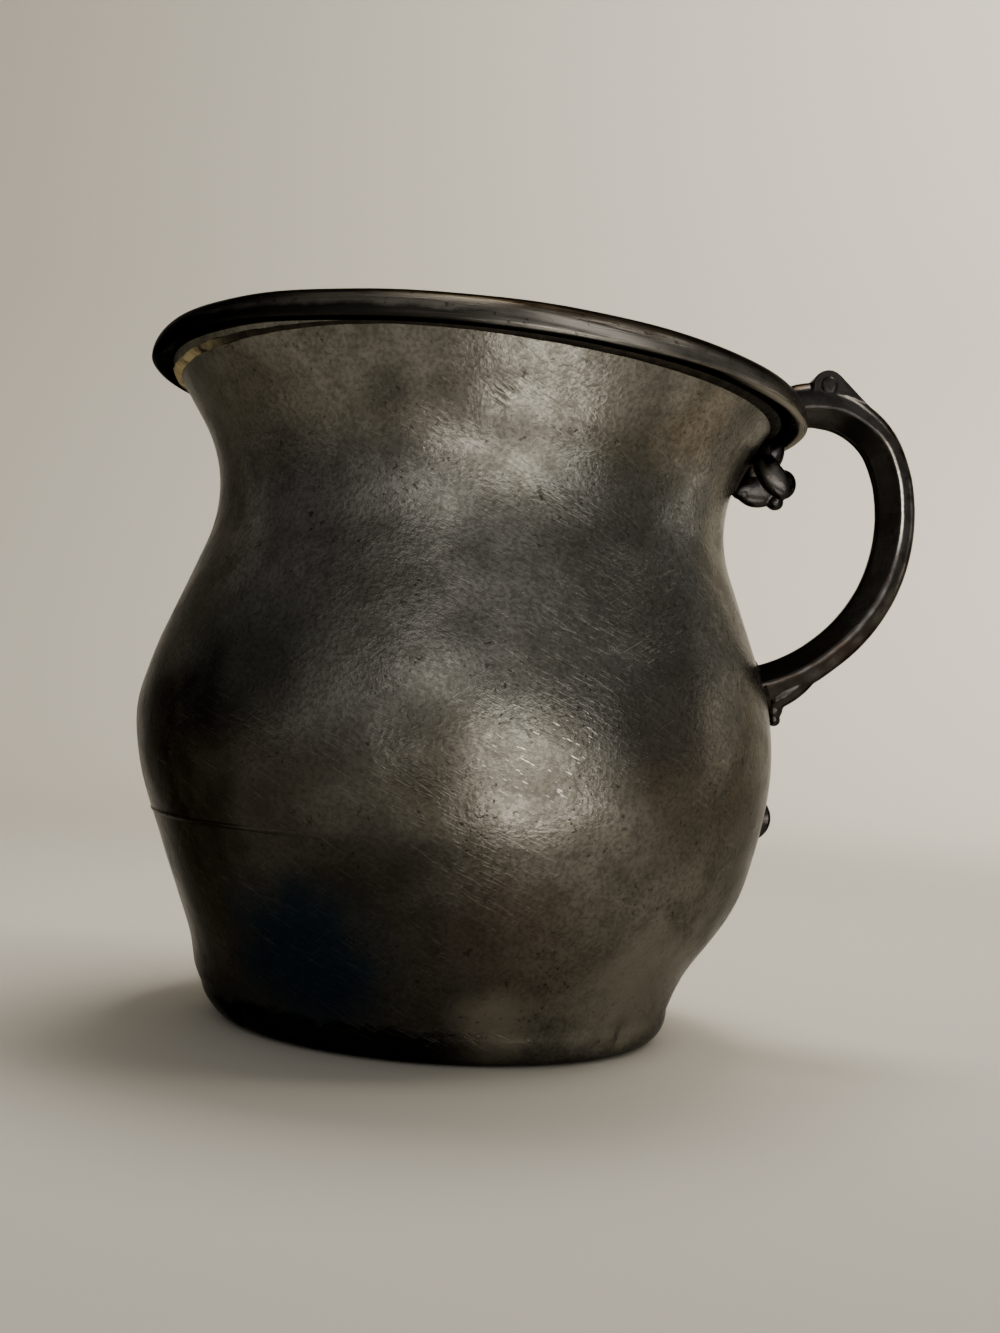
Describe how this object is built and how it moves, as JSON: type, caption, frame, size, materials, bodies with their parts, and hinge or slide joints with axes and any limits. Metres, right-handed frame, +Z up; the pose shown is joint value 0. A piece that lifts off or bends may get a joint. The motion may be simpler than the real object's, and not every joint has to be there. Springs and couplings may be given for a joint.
{
  "type": "creamer jug",
  "caption": "Small pear-shaped pewter creamer with a heavy rolled rim, a cast scroll handle with thumb scroll, and a scroll bracket under the rim.",
  "frame": {"origin": "centre of the foot, on the plane the jug stands on", "axes": "+Z up along the jug's axis, +X towards the handle, +Y to the far side when the handle is on the right"},
  "size_m": [0.1059, 0.0894, 0.0924],
  "materials": {
    "body_pewter": "tarnished pewter, worn satin with fine scratches",
    "cast_pewter": "dark tarnished pewter, glossy from handling",
    "solder": "dull tin solder"
  },
  "bodies": {
    "root": {"upper_body": "body_pewter", "lower_body": "body_pewter", "base_disc": "body_pewter", "rim_band": "body_pewter", "handle": "cast_pewter", "neck_bracket": "cast_pewter", "belly_drop": "cast_pewter", "seam_solder": "solder", "rim_solder": "solder", "base_solder": "solder", "handle_top_solder": "solder", "handle_foot_solder": "solder", "bracket_solder": "solder"}
  },
  "joints": []
}
